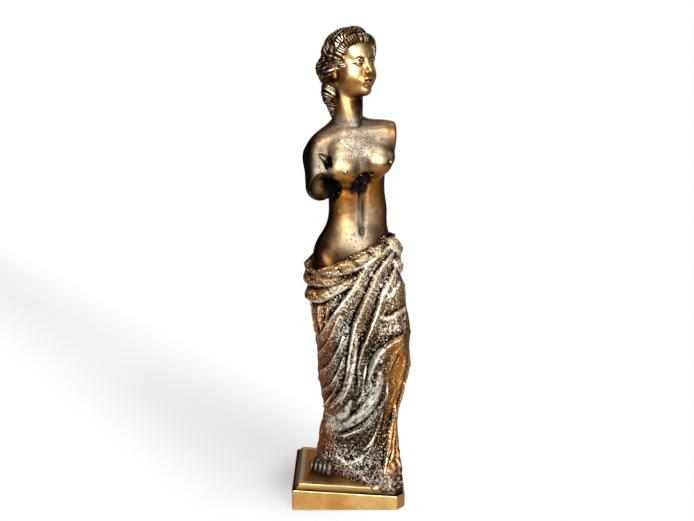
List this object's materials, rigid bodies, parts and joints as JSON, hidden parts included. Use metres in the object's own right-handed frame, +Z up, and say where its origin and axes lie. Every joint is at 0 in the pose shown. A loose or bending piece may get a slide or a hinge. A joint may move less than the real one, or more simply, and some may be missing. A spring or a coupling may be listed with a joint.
{
  "type": "bronze figure statuette",
  "caption": "Free-standing cast bronze statuette: a draped female figure without arms, head turned, on a low stepped plinth with one clipped corner.",
  "frame": {"origin": "centre of the resting face, the underside of the felt pad", "axes": "+Z up, -Y towards the front of the plinth, +X towards the figure's left side with the clipped corner at +X -Y"},
  "size_m": [0.075, 0.064, 0.3],
  "materials": {
    "polished_bronze": "polished, worn bright on the edges",
    "patinated_bronze": "antique brown and black patina rubbed bright on the high places",
    "bronze_pin": "dressed flush and toned with the casting",
    "steel_fastener": "plain zinc",
    "felt": "short dark green felt"
  },
  "bodies": {
    "root": {"plinth": "polished_bronze", "felt_pad": "felt", "drapery_casting": "patinated_bronze", "torso_casting": "patinated_bronze", "head_casting": "patinated_bronze", "tie_rod": "steel_fastener", "tie_rod_washer": "steel_fastener", "tie_rod_spring_washer": "steel_fastener", "tie_rod_nut": "steel_fastener", "plinth_dowels": "bronze_pin", "waist_joint_pins": "bronze_pin", "neck_joint_pins": "bronze_pin", "torso_core_plugs": "bronze_pin", "drapery_core_plugs": "bronze_pin"}
  },
  "joints": []
}
